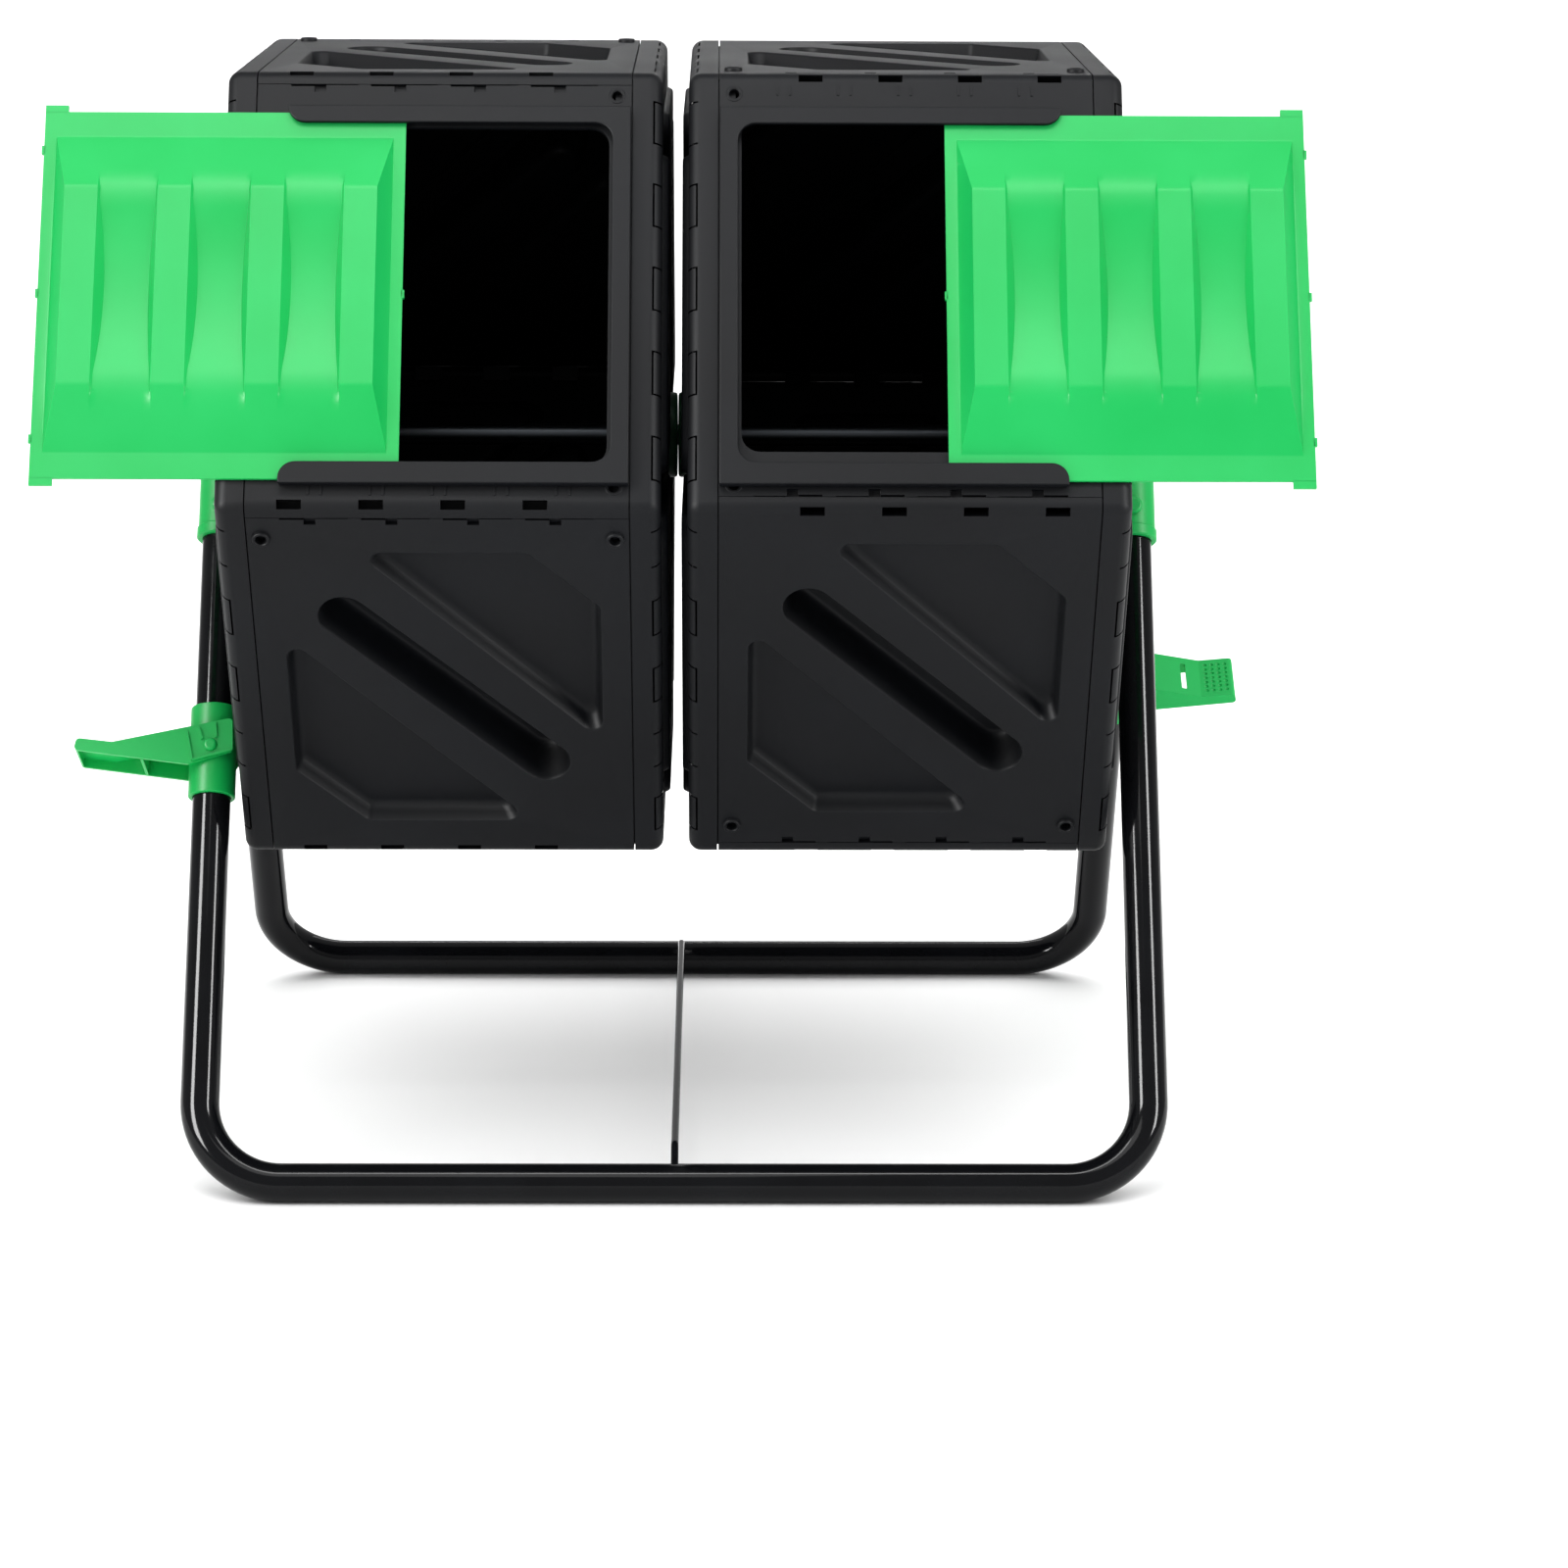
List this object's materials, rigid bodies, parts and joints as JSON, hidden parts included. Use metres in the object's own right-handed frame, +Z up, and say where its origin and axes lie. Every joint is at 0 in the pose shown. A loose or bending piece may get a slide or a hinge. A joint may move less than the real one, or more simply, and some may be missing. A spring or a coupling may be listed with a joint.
{
  "type": "compost tumbler",
  "caption": "Twin hexagonal composting drums side by side on one axle between bent-tube A-frame legs, with sliding doors and a locking lever for each drum.",
  "frame": {"origin": "on the ground, under the middle of the axle", "axes": "+X along the axle, -Y the door side, +Z up"},
  "size_m": [0.8842, 0.654, 0.7892],
  "materials": {
    "black_plastic": "textured moulded polypropylene",
    "green_plastic": "satin moulded polypropylene",
    "dark_green_plastic": "satin moulded polypropylene",
    "gloss_black_paint": "gloss black enamel on steel tube",
    "zinc_steel": "zinc-plated steel"
  },
  "bodies": {
    "frame": {"front_leg_frame": "gloss_black_paint", "rear_leg_frame": "gloss_black_paint", "tie_rod": "gloss_black_paint", "axle": "zinc_steel", "left_top_bracket": "green_plastic", "left_axle_cap": "green_plastic", "left_front_bracket_bolt": "green_plastic", "left_rear_bracket_bolt": "green_plastic", "left_lock_collar": "green_plastic", "left_lock_pin": "green_plastic", "right_top_bracket": "green_plastic", "right_axle_cap": "green_plastic", "right_front_bracket_bolt": "green_plastic", "right_rear_bracket_bolt": "green_plastic", "right_lock_collar": "green_plastic", "right_lock_pin": "green_plastic"},
    "left_drum": {"left_door_panel": "black_plastic", "left_door_rails": "black_plastic", "left_panel_1": "black_plastic", "left_panel_2": "black_plastic", "left_panel_3": "black_plastic", "left_panel_4": "black_plastic", "left_panel_5": "black_plastic", "left_inner_cap": "black_plastic", "left_inner_bush": "dark_green_plastic", "left_outer_cap": "black_plastic", "left_outer_bush": "dark_green_plastic"},
    "left_door": {"left_door": "green_plastic"},
    "left_lever": {"left_lock_lever": "green_plastic"},
    "right_drum": {"right_door_panel": "black_plastic", "right_door_rails": "black_plastic", "right_panel_1": "black_plastic", "right_panel_2": "black_plastic", "right_panel_3": "black_plastic", "right_panel_4": "black_plastic", "right_panel_5": "black_plastic", "right_inner_cap": "black_plastic", "right_inner_bush": "dark_green_plastic", "right_outer_cap": "black_plastic", "right_outer_bush": "dark_green_plastic"},
    "right_door": {"right_door": "green_plastic"},
    "right_lever": {"right_lock_lever": "green_plastic"}
  },
  "joints": [
    {"name": "left_drum_spin", "type": "hinge", "parent": "frame", "child": "left_drum", "pos_m": [0, 0, 0.506], "axis": [1, 0, 0], "range_deg": [-170, 50]},
    {"name": "left_door_slide", "type": "slide", "parent": "left_drum", "child": "left_door", "axis": [1, 0, 0], "range_m": [0, 0.153]},
    {"name": "left_lock_turn", "type": "hinge", "parent": "frame", "child": "left_lever", "pos_m": [-0.341, -0.13394, 0.28901], "axis": [0, -0.8509, 0.5253], "range_deg": [0, 30]},
    {"name": "right_drum_spin", "type": "hinge", "parent": "frame", "child": "right_drum", "pos_m": [0, 0, 0.506], "axis": [1, 0, 0], "range_deg": [-170, 50]},
    {"name": "right_door_slide", "type": "slide", "parent": "right_drum", "child": "right_door", "axis": [1, 0, 0], "range_m": [-0.153, 0]},
    {"name": "right_lock_turn", "type": "hinge", "parent": "frame", "child": "right_lever", "pos_m": [0.341, 0.13394, 0.28901], "axis": [0, 0.8509, 0.5253], "range_deg": [0, 30]}
  ]
}
